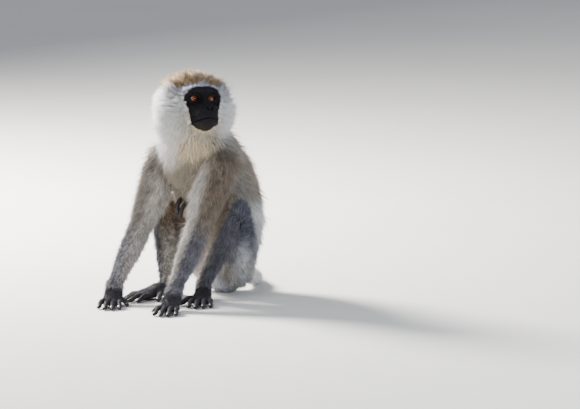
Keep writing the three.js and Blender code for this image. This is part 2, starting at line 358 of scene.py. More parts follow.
# --- head: flesh ----------------------------------------------------------------------------------
# The skull and cheeks are eggs, and the bare face is built of rounded lengths and eggs like a
# modeller's pellets of clay. Places on the head are (s, f, u): to her left, forward and up.
HEAD_CENTRE = np.array([2.0, -78.0, 280.0])
TURN, LIFT, TILT = (math.radians(a) for a in (62, 12, 3))
forward = np.array([math.cos(LIFT) * math.sin(TURN), -math.cos(LIFT) * math.cos(TURN), math.sin(LIFT)])
level = np.array([math.cos(TURN), math.sin(TURN), 0])
upright = np.cross(forward, level)
leftward = level * math.cos(TILT) - upright * math.sin(TILT)
HEAD_AXES = np.stack([leftward, forward, np.cross(forward, leftward)])
EYE = np.array([13.0, 29.0, 5.0])
EYE_RADIUS = 8.6
LID = 1.3


def on_head(s, f, u):
    """The head's centre plus s, f and u along its axes."""
    return HEAD_CENTRE + np.array([s, f, u], float) @ HEAD_AXES


def on_axes_of_head(points):
    """Places (s, f, u) on the head: offsets from its centre, measured along its axes."""
    return (points - HEAD_CENTRE) @ HEAD_AXES.T


def folded(q):
    """Both halves of the head laid on one another: (|s|, f, u)."""
    return np.column_stack([np.abs(q[:, 0]), q[:, 1:]])


def egg(q, centre, sizes):
    """Signed distance to an ellipsoid, with the same k0 and k1 as a length's."""
    q = q - np.asarray(centre, float)
    k0 = np.linalg.norm(q / sizes, axis=-1)
    k1 = np.linalg.norm(q / np.square(sizes), axis=-1)
    return k0 * (k0 - 1) / np.maximum(k1, 1e-6)


def pellets(*stations, side=0, steps=8):
    """A length on the head, from stations (s, f, u, half-width, half-depth)."""
    rows = [(*on_head(*row[:3]), *row[3:], 0) for row in stations]
    return Length(rows, side=HEAD_AXES[side], steps=steps)


muzzle = pellets((0, 24, -9, 23.5, 22), (0, 40, -13.5, 20, 18), (0, 54, -18.5, 16.5, 14.2))
jaw = pellets((0, 20, -24, 19.5, 14.5), (0, 40, -29.5, 15.5, 11.5), (0, 53, -31.5, 12, 9.2))
nose = pellets((0, 38, 12, 5, 5), (0, 44, 5, 5, 5), (0, 53, -3.5, 4.6, 5), (0, 60.5, -10.5, 5.6, 5))
brow = pellets(
    (-26, 30, 8.5, 4, 4), (-20, 36.5, 14, 5, 5), (-10, 39.5, 16, 6, 5.5), (0, 39.5, 15.5, 6, 5.5),
    (10, 39.5, 16, 6, 5.5), (20, 36.5, 14, 5, 5), (26, 30, 8.5, 4, 4), side=2, steps=14,
)
cheeks = [
    pellets((g * 27, 29, 2, 3.4, 3.4), (g * 22, 35, -6, 4.2, 4.2), (g * 12, 42, -9, 4, 4)) for g in (-1, 1)
]
cheeks += [
    pellets((g * 18, 28, -18, 6, 6), (g * 17, 38, -24, 5.2, 5.2), (g * 15, 46, -28, 4, 4.4)) for g in (-1, 1)
]
upper_lip = pellets(
    (-15.5, 47, -26.5, 3, 3), (-10.5, 57, -23.6, 4.4, 4.2), (0, 62.2, -21.4, 4.6, 4.2),
    (10.5, 57, -23.6, 4.4, 4.2), (15.5, 47, -26.5, 3, 3), side=2, steps=12,
)
lower_lip = pellets(
    (-14.5, 47, -30.5, 3, 3), (-9, 55.5, -29.4, 3.8, 3.6), (0, 59.6, -28, 4, 3.8),
    (9, 55.5, -29.4, 3.8, 3.6), (14.5, 47, -30.5, 3, 3), side=2, steps=12,
)

# Creases pressed into the face: points (s, u), half-width, depth, and whether the other side has one.
CREASES = [
    ([(-16.8, -29.4), (-11, -26.8), (0, -24.8), (11, -26.8), (16.8, -29.4)], 0.9, 1.9, False),  # mouth
    ([(0, -15), (0, -22.5)], 1.0, 0.6, False),
    ([(6.5, -8), (9, -13), (13.5, -19), (17.5, -23.5), (19.5, -29)], 1.9, 0.9, True),  # beside the nose
    ([(4.2, 8.2), (8, 11.6), (13.5, 12.8), (19, 10.8), (22.5, 6)], 1.1, 0.9, True),  # upper lid
    ([(5.4, 0.5), (9.5, -2.6), (15, -3.2), (20.5, 0)], 0.9, 0.6, True),  # lower lid
    ([(6.5, -3.5), (11, -6.6), (17, -6.2), (22.5, -2)], 1.4, 0.7, True),
    ([(5.5, -1), (7.5, -7), (11.5, -12)], 1.5, 0.6, True),
    ([(2.1, 21), (1.8, 17.5), (2.4, 13)], 1.2, 0.7, True),  # between the brows
    ([(4.5, 20), (12, 21), (19, 18)], 1.1, 0.45, True),
    ([(-4, 6.5), (0, 7.2), (4, 6.5)], 0.8, 0.4, False),  # over the bridge of the nose
    ([(-4, 3.6), (0, 4.2), (4, 3.6)], 0.8, 0.4, False),
    ([(-4, 0.8), (0, 1.4), (4, 0.8)], 0.8, 0.3, False),
    ([(9, -18.5), (13, -20.5), (16, -23)], 0.9, 0.3, True),
    ([(-10, -35.6), (0, -33.8), (10, -35.6)], 1.6, 0.8, False),  # under the lower lip
    ([(-7, -39), (0, -38), (7, -39)], 1.2, 0.4, False),
]


def bell(x, width):
    """exp(-(x / width)^2)."""
    return np.exp(-np.square(x / width))


def crease_depth(q):
    """Sum over the creases of depth * exp(-(distance / half-width)^2), at places q on the head."""
    total = np.zeros(len(q))
    for points, width, depth, mirrored in CREASES:
        line = through(points, 3 * (len(points) - 1))
        where = np.column_stack([np.abs(q[:, 0]) if mirrored else q[:, 0], q[:, 2]])
        nearest = np.full(len(q), FAR)
        for a, b in zip(line[:-1], line[1:]):
            t = np.clip((where - a) @ (b - a) / ((b - a) @ (b - a)), 0, 1)
            nearest = np.minimum(nearest, np.linalg.norm(where - a - t[:, None] * (b - a), axis=1))
        total += depth * bell(nearest, width)
    return total


FACE_MARGIN = 11.0  # a little more than the widest rounding on the face
NOSTRIL_WAY = np.array([0.65, -0.2, 0.7])


def head_flesh(points):
    """The skull and cheeks, with the face added where it can reach."""
    q = on_axes_of_head(points)
    mirrored = folded(q)
    d = egg(q, (0, -2, 2), (40, 39, 34))
    d = soft_min(d, egg(mirrored, (18.5, 3, -16), (22.5, 26.5, 26.5)), 10)
    front = np.flatnonzero(q[:, 1] > 0)
    d[front] = face_flesh(points[front], q[front], mirrored[front], d[front])
    return d


def face_flesh(points, q, mirrored, d):
    """The bare face built up on the skull at d, then its sockets, lids, creases and nostrils."""
    face = soft_min(egg(q, (0, 22, 2), (29, 22.5, 22)), muzzle.measure(points, FACE_MARGIN)[0], 7)
    face = soft_min(face, jaw.measure(points, FACE_MARGIN)[0], 5)
    for form, k in [(nose, 5), (brow, 8), *[(c, 6) for c in cheeks], (upper_lip, 4), (lower_lip, 4)]:
        face = soft_min(face, form.measure(points, FACE_MARGIN)[0], k)
    face = soft_min(face, egg(mirrored, (4.4, 61.5, -11.8), (3.4, 4, 3.4)), 2.5)
    face = soft_max(face, -egg(mirrored, EYE + (1, 15.5, -1), (10.5, 9, 8.2)), 4)
    d = soft_min(d, face, 6)
    e = mirrored - EYE
    d = soft_min(d, np.linalg.norm(e, axis=1) - EYE_RADIUS - LID, 1.6)
    slant = e[:, 2] - 0.1 * e[:, 0]
    arch = np.maximum(1 - np.square(e[:, 0] / 7.0), 0) ** 0.8
    lids = np.where(slant > 0, slant - 4.0 * arch, -slant - 3.6 * arch)
    lids += np.maximum(np.abs(e[:, 0]) - 7.0, 0)
    opening = np.maximum(lids, 3.0 - e[:, 1])
    d = soft_max(d, -opening, 0.9)
    close = np.flatnonzero((np.abs(d) < 6) & (q[:, 1] > 24))
    d[close] += crease_depth(q[close]) * np.clip((q[close, 1] - 30) / 10, 0, 1)
    slit = mirrored - (3.3, 66, -12.2)
    along = np.clip(slit @ NOSTRIL_WAY, -1.5, 1.5)
    slit = slit - along[:, None] * NOSTRIL_WAY
    d = soft_max(d, 1.1 - np.linalg.norm(slit * (1, 0.45, 1), axis=1), 1.2)
    return d


# --- skin: one closed surface ---------------------------------------------------------------------
# All the flesh is joined into one form, with soft hollows where limbs leave the trunk, and a closed
# skin is drawn over it. The face and the digits keep a far finer mesh than the rest.
VOXEL = 1.25
HEAD_REACH = 84.0
POINTS_AT_ONCE = 6000
ROOM_ROUND_HER = 4
THINNED_TO = 0.23  # of the triangles away from the face, hands and feet
MM = 0.001


def flesh_here(points, margin):
    """Signed distance to the whole body: each limb blends into the torso, and limbs that only
    touch each other meet in a crease."""
    torso = soft_min(trunk.measure(points, margin)[0], neck.measure(points, margin)[0], 14)
    near_head = np.flatnonzero(((points - HEAD_CENTRE) ** 2).sum(1) < HEAD_REACH**2)
    head = np.full(len(points), FAR)
    head[near_head] = head_flesh(points[near_head])
    torso = soft_min(torso, head, 9)
    body = soft_min(torso, tail.measure(points, margin)[0], 8)
    for side in SIDES:
        limbs = []
        for (base, digits), limb in ((hands[side], arms[side]), (feet[side], shins[side])):
            spread = np.full(len(points), FAR)
            for form in digits:
                spread = soft_min(spread, form.measure(points, margin / 2)[0], 0.6)
            end = soft_min(base.measure(points, margin)[0], spread, 2.6)
            limbs.append(soft_min(limb.measure(points, margin)[0], end, 7))
        arm, shin = limbs
        leg = soft_min(shin, thighs[side].measure(points, margin)[0], 8)
        body = np.minimum(body, soft_min(torso, arm, 13))
        body = np.minimum(body, soft_min(torso, leg, 13))
    return soft_max(body, 0.5 - points[:, 2], 2)


def flesh(points, margin=16.0):
    """flesh_here, worked out for shares of the points side by side."""
    shares = np.array_split(points, max(1, len(points) // POINTS_AT_ONCE))
    with ThreadPoolExecutor() as pool:
        return np.concatenate(list(pool.map(lambda share: flesh_here(share, margin), shares)))


def clay(low, high):
    """Distances on a grid of voxels, clipped to a thin band. A block of voxels is split only where
    the surface may cross it, and otherwise filled with one value."""
    band = 1.6 * VOXEL
    shape = (np.ceil((high - low) / (8 * VOXEL)).astype(int)) * 8
    grid = np.zeros(shape, np.float32)
    corner = np.stack(np.meshgrid(*[np.arange(0, n, 8) for n in shape], indexing="ij"), -1).reshape(-1, 3)
    for size, split in ((8, 4), (2, 2), (1, 1)):
        middle = low + (corner + (size - 1) / 2) * VOXEL
        d = flesh(middle, margin=30.0 if size == 8 else 16.0)
        inner = np.arange(size)
        i, j, k = (corner[:, n, None, None, None] for n in range(3))
        block = (i + inner[:, None, None], j + inner[:, None], k + inner)
        grid[block] = np.clip(d, -band, band)[:, None, None, None]
        crossed = corner[np.abs(d) < 1.3 * size * VOXEL * math.sqrt(3) / 2 + band]
        child = np.stack(np.meshgrid(*[np.arange(split)] * 3, indexing="ij"), -1).reshape(-1, 3)
        corner = (crossed[:, None] + child * (size // split)).reshape(-1, 3)
    return grid, band


def halve_edges(points, triangles, chosen):
    """Halves every edge whose two ends are chosen, and fills each triangle by how many of its
    edges were halved."""
    edges = np.sort(triangles[:, [[0, 1], [1, 2], [2, 0]]], axis=2)
    keys = edges[..., 0].astype(np.int64) * len(points) + edges[..., 1]
    unique, index = np.unique(keys, return_inverse=True)
    index = index.reshape(keys.shape)
    a, b = unique // len(points), unique % len(points)
    halved = chosen[a] & chosen[b]
    number = np.cumsum(halved) - 1 + len(points)
    corners = np.column_stack([triangles, np.where(halved[index], number[index], -1)])
    pattern = halved[index] @ np.array([1, 2, 4])
    fills = {
        0: [(0, 1, 2)],
        1: [(0, 3, 2), (3, 1, 2)],
        2: [(0, 1, 4), (0, 4, 2)],
        4: [(0, 1, 5), (5, 1, 2)],
        3: [(0, 3, 2), (3, 1, 4), (3, 4, 2)],
        6: [(0, 1, 4), (0, 4, 5), (5, 4, 2)],
        5: [(0, 3, 5), (3, 1, 2), (3, 2, 5)],
        7: [(0, 3, 5), (3, 1, 4), (5, 4, 2), (3, 4, 5)],
    }
    made = [corners[pattern == kind][:, fill] for kind, fill in fills.items()]
    points = np.vstack([points, (points[a[halved]] + points[b[halved]]) / 2])
    return points, np.vstack([m.reshape(-1, 3) for m in made])


def slope(points, step=0.15):
    """The flesh's distance and its gradient, from the four corners e of a tetrahedron round each
    point: the mean of the distances, and the sum of e d(p + step e) times 3 / (4 step |e|^2)."""
    corners = np.array([(1, 1, 1), (1, -1, -1), (-1, 1, -1), (-1, -1, 1)])
    d = np.stack([flesh(points + step * e) for e in corners])
    return d.mean(0), d.T @ corners / (4 * step)


def settle(points, rounds):
    """Moves points onto the surface: each round steps by -d g / |g|^2."""
    for _ in range(rounds):
        d, g = slope(points)
        step = -d[:, None] * g / np.maximum((g * g).sum(1), 0.2)[:, None]
        points = points + np.clip(step, -VOXEL / 2, VOXEL / 2)
    return points


def new_piece(name, points, faces):
    """A piece from points in millimetres and faces of equal size, that rides with the body."""
    mesh = bpy.data.meshes.new(name)
    mesh.vertices.add(len(points))
    mesh.vertices.foreach_set("co", (points * MM).astype(np.float32).ravel())
    mesh.loops.add(faces.size)
    mesh.loops.foreach_set("vertex_index", faces.astype(np.int32).ravel())
    mesh.polygons.add(len(faces))
    mesh.polygons.foreach_set("loop_start", np.arange(0, faces.size, faces.shape[1], dtype=np.int32))
    mesh.update(calc_edges=True)
    mesh.shade_smooth()
    piece = bpy.data.objects.new(name, mesh)
    bpy.context.scene.collection.objects.link(piece)
    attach(piece, "root")
    return piece


def triangles_of(mesh):
    """A mesh's points in millimetres and its triangles."""
    points = np.zeros(len(mesh.vertices) * 3, np.float32)
    mesh.vertices.foreach_get("co", points)
    mesh.calc_loop_triangles()
    triangles = np.zeros(len(mesh.loop_triangles) * 3, np.int32)
    mesh.loop_triangles.foreach_get("vertices", triangles)
    return points.reshape(-1, 3).astype(float) / MM, triangles.reshape(-1, 3)


lowest = np.array(cad_box[0]) / MM - ROOM_ROUND_HER
highest = np.array(cad_box[1]) / MM + ROOM_ROUND_HER
clay_grid, clay_band = clay(lowest, highest)
volume = openvdb.FloatGrid(clay_band)
volume.copyFromArray(clay_grid)
skin_points, _, quads = volume.convertToPolygons(isovalue=0.0, adaptivity=0.0)
skin_points = skin_points.astype(float) * VOXEL + lowest
quads = quads.astype(np.int64)
rough = new_piece("rough_skin", skin_points, np.vstack([quads[:, [0, 1, 2]], quads[:, [0, 2, 3]]]))


def is_fine(points):
    """True on the bare face, the hands and the feet."""
    q = on_axes_of_head(points)
    face = (q[:, 1] > 20) & (np.abs(q[:, 0]) < 30) & (q[:, 2] > -48) & (q[:, 2] < 26)
    return face | (points[:, 2] < 24) & (points[:, 1] < -75)


keep = rough.vertex_groups.new(name="thin_out")
coarse = np.flatnonzero(~is_fine(skin_points))
keep.add(coarse.tolist(), 1.0, "REPLACE")
thinner = rough.modifiers.new("thin_out", "DECIMATE")
thinner.ratio = THINNED_TO
thinner.vertex_group = "thin_out"
thinned = bpy.data.meshes.new_from_object(rough.evaluated_get(bpy.context.evaluated_depsgraph_get()))
skin_points, skin_triangles = triangles_of(thinned)
bpy.data.objects.remove(rough)


def refine(points, triangles, chosen, rounds):
    """Splits the chosen part of the skin, and settles what is near it on the flesh."""
    before = len(points)
    points, triangles = halve_edges(points, triangles, chosen)
    moved = np.flatnonzero(np.append(chosen, np.ones(len(points) - before, bool)))
    points[moved] = settle(points[moved], rounds)
    return points, triangles


q = on_axes_of_head(skin_points)
on_face = (q[:, 1] > 30) & (np.abs(q[:, 0]) < 27) & (q[:, 2] > -45) & (q[:, 2] < 24)
skin_points, skin_triangles = refine(skin_points, skin_triangles, on_face, 1)
q = on_axes_of_head(skin_points)
mirrored = folded(q)
by_eye = (np.linalg.norm((mirrored - EYE)[:, ::2], axis=1) < 10) & (q[:, 1] > 31)
by_nose = np.linalg.norm(mirrored - (3, 66, -12), axis=1) < 6
by_mouth = (np.abs(q[:, 2] + 25 + q[:, 0] ** 2 * 0.016) < 2.2) & (q[:, 1] > 43)
skin_points, skin_triangles = refine(skin_points, skin_triangles, by_eye | by_nose | by_mouth, 2)
skin = new_piece("skin", skin_points, skin_triangles)
skin_normals = np.zeros(skin_points.size)
skin.data.vertex_normals.foreach_get("vector", skin_normals)
skin_normals = skin_normals.reshape(-1, 3)
FLESH_NODES = ["head", "face", "lower_jaw", "neck", "chest", "abdomen"]
for side in SIDES:
    FLESH_NODES += [f"{part}_{side}" for part in ("upper_arm", "forearm", "hand", "thigh", "shin", "foot")]
FLESH_NODES += [f"tail_{n}" for n in range(1, 8)]
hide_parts(*FLESH_NODES)

# --- lie of the coat ------------------------------------------------------------------------------
# Hair lies down the trunk and out along each limb and the tail. On the head it spreads from the
# face over the crown and out into the ruff of the cheeks.


def ramp(x, low, high):
    """Smooth step from 0 at low to 1 at high: 3 t^2 - 2 t^3."""
    t = np.clip((x - low) / (high - low), 0, 1)
    return t * t * (3 - 2 * t)


def past_mask(q):
    """How far a place on the head lies outside the bare face, about in millimetres: an arch over
    the brow, a half-width down the cheeks, an arc under the chin, and a line down each cheek."""
    s, f, u = np.abs(q[:, 0]), q[:, 1], q[:, 2]
    over_brow = (np.hypot(s / 26.5, (u - 4) / 16.6) - 1) * 19
    beside = s - np.interp(u, [-24, -18, -12, -4, 4], [19.5, 20.2, 21.3, 24.5, 26.5])
    under_chin = (np.hypot(s / 19.5, (u + 24) / 18) - 1) * 18
    past = np.where(u > 4, over_brow, np.where(u < -24, under_chin, beside)) - 5 * ramp(f, 40, 48)
    rearmost = np.interp(u, [-46, -40, -28, -20, -12, -4, 5, 14, 22], [46, 42, 35, 37.5, 39, 33, 27, 29, 34])
    behind = np.maximum(rearmost - f, np.minimum(u - 12, 36 - f))
    return np.maximum(past, 0.8 * behind)


def lie_of_head(q):
    """Which way hair lies at places q on the head: out from the middle of the face and backwards,
    turning down behind the ears."""
    outward = q - (0, 0, -4)
    outward[:, 1] = 0
    outward = unit(outward)
    behind = ramp(-q[:, 1], -8, 24)[:, None]
    low = ramp(-q[:, 2], 5, 30)[:, None]
    lie = outward * (1 - 0.8 * behind) + np.array([0, -0.75, 0]) * (1 - 0.3 * behind) + (0, 0, -1.1) * behind
    lie += (0, -0.2, -0.6) * low
    return unit(lie @ HEAD_AXES)


def coat_of_head(q):
    """Depth of the coat on the head: deepest in the ruff of the cheeks, and short at the mask."""
    ruff = ramp(np.abs(q[:, 0]), 12, 34) * ramp(q[:, 2], 26, 6) * (1 - 0.7 * ramp(-q[:, 2], 10, 34))
    corner = np.exp(-np.square((np.abs(q[:, 0]) - 30) / 12) - np.square((q[:, 2] - 20) / 12))
    over_shoulder = ramp(-q[:, 0], 12, 32) * ramp(-q[:, 2], 8, 30)
    depth = 10.5 + 6.8 * ruff + 3.5 * corner - 1.5 * ramp(q[:, 1], 10, 35)
    depth += 5 * over_shoulder + 1.5 * ramp(q[:, 2], 16, 28)
    return depth * (0.22 + 0.78 * ramp(past_mask(q), 0, 15))


hanging = np.array([0, 0.35, -0.85])
REGIONS = [("trunk", [(trunk, -1, 0), (neck, -1, 0)]), ("tail", [(tail, 1, 0)])]
for side in SIDES:
    palm, fingers = hands[side]
    sole, toes = feet[side]
    REGIONS += [
        (f"arm_{side}", [(arms[side], 1, 0)]),
        (f"leg_{side}", [(thighs[side], 1, 0.75), (shins[side], 1, 0)]),
        (f"hand_{side}", [(form, 1, 0) for form in (palm, *fingers)]),
        (f"foot_{side}", [(form, 1, 0) for form in (sole, *toes)]),
    ]


def lie_of_coat(points):
    """For places on the skin: which way hair lies, the coat's depth, and each region's share. A
    region's share falls by e for each 3 mm that it lies further off than the nearest."""
    q = on_axes_of_head(points)
    near = ((points - HEAD_CENTRE) ** 2).sum(1) < HEAD_REACH**2
    gap = np.full(len(points), FAR)
    gap[near] = head_flesh(points[near])
    lies, coats, gaps = [lie_of_head(q)], [coat_of_head(q)], [gap]
    for _, forms in REGIONS:
        best, lie, coat = np.full(len(points), FAR), np.zeros((len(points), 3)), np.ones(len(points))
        for form, sense, hang in forms:
            distance, place = form.measure(points, 30.0)
            nearer = distance < best
            way = form.at_place(form.way, place[nearer]) * sense
            falls = hang * ramp(form.along(place[nearer]), 1, 0.5)[:, None]
            best[nearer] = distance[nearer]
            lie[nearer] = unit(way * (1 - falls) + hanging * falls)
            coat[nearer] = form.at_place(form.coat, place[nearer])
        lies.append(lie)
        coats.append(coat)
        gaps.append(best)
    gaps = np.stack(gaps)
    share = np.exp(-(gaps - gaps.min(0)) / 3)
    share /= share.sum(0)
    lie = unit(np.einsum("rp,rpk->pk", share, np.stack(lies)))
    return lie, (share * np.stack(coats)).sum(0), share


skin_lie, coat_depth, region_share = lie_of_coat(skin_points)
region_names = ["head", *[name for name, _ in REGIONS]]
share_of = dict(zip(region_names, region_share))
hand_share = share_of["hand_left"] + share_of["hand_right"]
end_share = hand_share + (share_of["foot_left"] + share_of["foot_right"])
skin_q = on_axes_of_head(skin_points)
mask_gap = np.where(share_of["head"] > 0.5, past_mask(skin_q), FAR)

# --- markings -------------------------------------------------------------------------------------
# Skin and coat share one set of markings: an olive-gold crown, a white brow band and ruff, a cream
# throat and belly, a grizzled back and arms, slate forearms and thighs, and pale streaks.


def tone(red, green, blue):
    """A linear colour from display values of 0 to 255."""
    c = np.array([red, green, blue]) / 255
    return np.where(c > 0.04045, ((c + 0.055) / 1.055) ** 2.4, c / 12.92)


def paint(colours, colour, share):
    """colours (1 - share) + colour share."""
    return colours * (1 - share[:, None]) + colour * share[:, None]


def waver(points, size, seed):
    """Smooth noise, mostly from -1 to 1: a quarter of the sum of eight sine waves about `size` long,
    each its own way."""
    chance = np.random.default_rng(seed)
    ways = unit(chance.normal(size=(8, 3))) * (2 * np.pi / (size * chance.uniform(0.7, 1.6, (8, 1))))
    return np.sin(points @ ways.T + chance.uniform(0, 7, 8)).sum(1) / 4


GOLD = tone(148, 119, 80)
NAPE = tone(100, 87, 70)
WHITE = tone(238, 238, 241)
ICE = tone(178, 184, 208)
TEMPLE = tone(200, 197, 198)
CREAM = tone(224, 206, 172)
BELLY = tone(150, 140, 121)
GRIZZLE = tone(143, 137, 131)
OLIVE = tone(128, 113, 98)
SLATE = tone(92, 93, 106)
FOREARM = tone(162, 161, 172)
PAWS = tone(74, 72, 80)
PALE = tone(216, 206, 198)
STREAK = tone(243, 247, 255)
RUMP = tone(212, 215, 226)
DUN = tone(186, 163, 142)
TAIL_GREY = tone(172, 170, 172)
TAIL_TIP = tone(84, 80, 78)
KNUCKLES = tone(52, 49, 54)
BLACK_FACE = tone(18, 17, 21)
CHIN = tone(30, 26, 25)
RIM = tone(62, 38, 38)


def markings(p, n, q):
    """The coat's colour, and how strongly single hairs differ from it, at places p on the skin with
    normals n and places q on the head's axes. Each colour is laid over those before it, and its share
    is a product of ramps along measures of the part that it lies on."""
    height = p[:, 2]
    soft = waver(p, 22, 3) * 0.5
    coat = np.tile(GRIZZLE, (len(p), 1))
    contrast = np.full(len(p), 0.85)

    def lay(colour, share):
        coat[:] = paint(coat, colour, share)

    off_axis = unit(p - trunk.at_place(trunk.at, trunk.measure(p)[1]))
    rear = off_axis[:, 1] + 0.25 * off_axis[:, 2]
    torso = share_of["trunk"]
    lay(OLIVE, torso * ramp(rear, -0.15, 0.45) * (1 - 0.6 * ramp(height, 165, 120)))
    front = torso * ramp(-rear + 0.15 * soft, 0.1, 0.6)
    lay(BELLY, front)
    lay(DUN, front * ramp(height, 150, 115))
    lay(CREAM, front * ramp(height, 205, 232))
    under_face = off_axis @ (0.81, -0.59, 0)
    beside = torso * ramp(under_face, 0.75, 0.45) * ramp(off_axis[:, 1], 0.4, 0.0)
    lay(WHITE, beside * ramp(height + 4 * soft, 196, 222))
    contrast -= 0.62 * front
    lay(RUMP, torso * ramp(height, 75, 45) * ramp(rear, 0.8, 0.3))

    # The pale streak of the hip runs down and back from the loin, and the rump is pale beside the tail.
    rearward = np.abs(p[:, 0]) * 0.766 + p[:, 1] * 0.643
    on_hip = bell(rearward - 30 - (138 - height) * 0.28, 10) * ramp(height, 152, 134)
    on_hip *= ramp(height, 48, 72) * ramp(np.abs(n[:, 0]), 0.15, 0.45)
    on_rump = bell(rearward - 19, 9) * ramp(height, 92, 70)
    lay(OLIVE, 0.8 * torso * ramp(height, 90, 70) * ramp(rearward, 27, 36))
    lay(STREAK, torso * np.maximum(on_hip, on_rump))

    for side, s in SIDES.items():
        arm, leg, outward = share_of[f"arm_{side}"], share_of[f"leg_{side}"], n[:, 0] * s["sign"]
        inner = ramp(n @ s["inner_arm"], *s["inner_edge"])
        down = arms[side].along(arms[side].measure(p)[1])
        outer = ramp(outward, 0.0, 0.6)
        behind = np.maximum(ramp(n[:, 1], 0.1, 0.8), outer)
        lay(OLIVE, 0.8 * arm * behind * ramp(down, 0.6, 0.3))
        lay(FOREARM, arm * ramp(down + 0.05 * soft, 0.45, 0.8))
        lay(SLATE, 0.75 * arm * outer * ramp(down, 0.4, 0.65))
        lay(PALE, 0.95 * arm * inner * ramp(down, 1.0, 0.75))
        thigh_gap, place = thighs[side].measure(p)
        on_thigh = leg * ramp(shins[side].measure(p)[0] - thigh_gap, -3, 3)
        by_hip = ramp(thighs[side].along(place), 0.7, 0.4)
        lay(SLATE, leg * ramp(outward + 0.2 * soft, -0.2, 0.35))
        lay(DUN, leg * ramp(-outward, 0.0, 0.5) * ramp(height, 75, 115))
        lay(PALE, 0.65 * leg * ramp(-outward, -0.1, 0.5) * ramp(height, 112, 80))
        lay(PALE, 0.7 * on_thigh * ramp(height, 70, 45))
        lay(STREAK, on_thigh * np.maximum(on_hip * by_hip, on_rump))

    down = tail.along(tail.measure(p)[1])
    length = share_of["tail"]
    lay(TAIL_GREY, length)
    lay(WHITE, length * ramp(down, 0.4, 0.2))
    lay(TAIL_TIP, length * ramp(down + 0.02 * soft, 0.86, 0.95))
    contrast = np.where(length > 0.5, 0.4, contrast)

    # The crown's gold is parted from the mask by the white brow band.
    head, up = share_of["head"], q[:, 2]
    over = up + 0.7 * np.maximum(-q[:, 1], 0) - 0.05 * np.abs(q[:, 0])
    crown = head * ramp(over + 3 * soft, 14.5, 18.5) * ramp(mask_gap + 2 * soft, 5.2, 8.2)
    crown *= ramp(up + 4 * soft, -24, 4)
    face_front = head * ramp(q[:, 1], -30, -5)
    lay(WHITE, face_front)
    lay(TEMPLE, head * ramp(up, -4, 10))
    lay(CREAM, 0.45 * face_front * ramp(-up, 2, 18) * ramp(36 - np.abs(q[:, 0]), 0, 12))
    lay(ICE, head * ramp(up, 8, 18) * ramp(mask_gap, 14, 9))
    lay(CREAM, head * ramp(-up, 26, 40) * ramp(24 - np.abs(q[:, 0]), 0, 14))
    lay(GOLD, crown)
    lay(NAPE, crown * ramp(-q[:, 1] + 3 * soft, -8, 22))
    on_the_head = 0.32 + 0.68 * crown + 0.25 * (1 - crown) * ramp(up, -4, 10)
    contrast = contrast * (1 - head) + head * on_the_head

    lay(PAWS, ramp(end_share, 0.3, 0.9))
    on_mask = ramp(mask_gap, 1.2, 0)
    lay(BLACK_FACE, on_mask)
    lay(CHIN, on_mask * ramp(-up, 28, 38))
    return coat, contrast


coat_colour, coat_contrast = markings(skin_points, skin_normals, skin_q)


def bare_skin(points, normals, q):
    """The bare skin's colour, and the share of the skin that is bare: the mask, hands and feet. On the
    hands and feet, skin that faces up carries a painted highlight.
    """
    colour = np.tile(BLACK_FACE, (len(points), 1))
    colour = paint(colour, CHIN, ramp(-q[:, 2], 28, 38) * ramp(q[:, 1], 36, 44))
    colour = paint(colour, CHIN, 0.6 * ramp(q[:, 2], 11, 17))
    colour = paint(colour, RIM, 0.8 * ramp(mask_gap, -3.0, 0.5) * ramp(q[:, 2], -10, 6))
    on_ends = ramp(end_share, 0.4, 0.8)
    # Painted highlight: bare skin on the hands and feet that faces up is made up to 35 per cent lighter.
    painted_top_highlight = 1 + 0.35 * ramp(normals[:, 2], 0.2, 0.9)[:, None]
    colour = paint(colour, KNUCKLES * painted_top_highlight, on_ends)
    edge = waver(points, 5, 11) * 0.8
    return colour, np.maximum(ramp(mask_gap + edge, 2.2, -0.4), on_ends)


bare_colour, bareness = bare_skin(skin_points, skin_normals, skin_q)


def set_attribute(piece, name, values):
    """Stores a number or a colour for every point of a piece."""
    if values.ndim == 1:
        piece.data.attributes.new(name, "FLOAT", "POINT").data.foreach_set("value", values.astype(np.float32))
    else:
        values = np.column_stack([np.clip(values, 0, 1), np.ones(len(values))]).astype(np.float32)
        piece.data.attributes.new(name, "FLOAT_COLOR", "POINT").data.foreach_set("color", values.ravel())


# Under the coat the skin takes the coat's colour at half strength. This is painted shade, so gaps between the
# tufts show as the shadowed depth of the coat.
set_attribute(skin, "marking", paint(coat_colour * 0.5, bare_colour, bareness))
set_attribute(skin, "bare", bareness)


class Amount:
    """A number or colour in a finish. The operators on numbers add Math nodes."""

    def __init__(self, finish, socket):
        self.finish, self.socket = finish, socket

    def _math(self, operation, a, b):
        return self.finish.node("ShaderNodeMath", {"operation": operation}, {0: a, 1: b})

    def __add__(self, other):
        return self._math("ADD", self, other)

    def __sub__(self, other):
        return self._math("SUBTRACT", self, other)

    def __rsub__(self, other):
        return self._math("SUBTRACT", other, self)

    def __mul__(self, other):
        return self._math("MULTIPLY", self, other)

    __radd__ = __add__
    __rmul__ = __mul__


